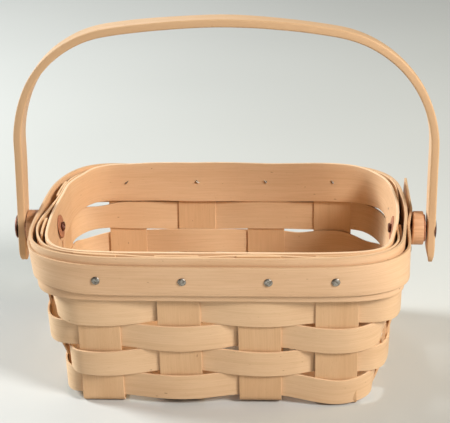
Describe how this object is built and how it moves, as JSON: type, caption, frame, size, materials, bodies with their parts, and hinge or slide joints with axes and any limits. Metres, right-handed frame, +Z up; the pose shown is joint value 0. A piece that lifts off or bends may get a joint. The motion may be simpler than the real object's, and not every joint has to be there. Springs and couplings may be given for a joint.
{
  "type": "woven splint basket",
  "caption": "Rectangular woven splint basket with rounded corners, a double hoop rim held by tacks, and a bentwood handle that swings on rivets at its two ends.",
  "frame": {"origin": "centre of the basket's base, on the table", "axes": "+Z up, +X along the rim's long side towards the right pivot, -Y towards the front wall"},
  "size_m": [0.2656, 0.165, 0.2225],
  "materials": {
    "weaver_maple": "bare, satin, fine grain along the strip",
    "hoop_maple": "bare, satin, fine grain along the band",
    "upright_maple": "bare, satin, fine grain up and down",
    "handle_maple": "bare, sanded, grain along the bend",
    "spacer_wood": "bare, end grain on its faces",
    "tack_steel": "dull zinc",
    "rivet_brown": "dark brown, satin",
    "washer_brown": "reddish brown, matt"
  },
  "bodies": {
    "basket": {"inner_hoop": "hoop_maple", "outer_hoop": "hoop_maple", "trim_band": "hoop_maple", "weaver_row_0": "weaver_maple", "weaver_row_1": "weaver_maple", "weaver_row_2": "weaver_maple", "weaver_row_3": "weaver_maple", "weaver_row_4": "weaver_maple", "long_splint_1": "upright_maple", "long_splint_2": "upright_maple", "long_splint_3": "upright_maple", "long_splint_4": "upright_maple", "cross_splint_1": "upright_maple", "cross_splint_2": "upright_maple", "tack_front_1": "tack_steel", "tack_front_2": "tack_steel", "tack_front_3": "tack_steel", "tack_front_4": "tack_steel", "tack_back_1": "tack_steel", "tack_back_2": "tack_steel", "tack_back_3": "tack_steel", "tack_back_4": "tack_steel", "tack_right_1": "tack_steel", "tack_right_2": "tack_steel", "tack_left_1": "tack_steel", "tack_left_2": "tack_steel", "rivet_left": "rivet_brown", "rivet_right": "rivet_brown", "spacer_left": "spacer_wood", "spacer_right": "spacer_wood", "thin_washer_left": "washer_brown", "thin_washer_right": "washer_brown", "inner_washer_left": "washer_brown", "inner_washer_right": "washer_brown"},
    "handle": {"handle": "handle_maple"}
  },
  "joints": [
    {"name": "handle_swing", "type": "hinge", "parent": "basket", "child": "handle", "pos_m": [0, 0, 0.0875], "axis": [1, 0, 0], "range_deg": [-126, 126]}
  ]
}
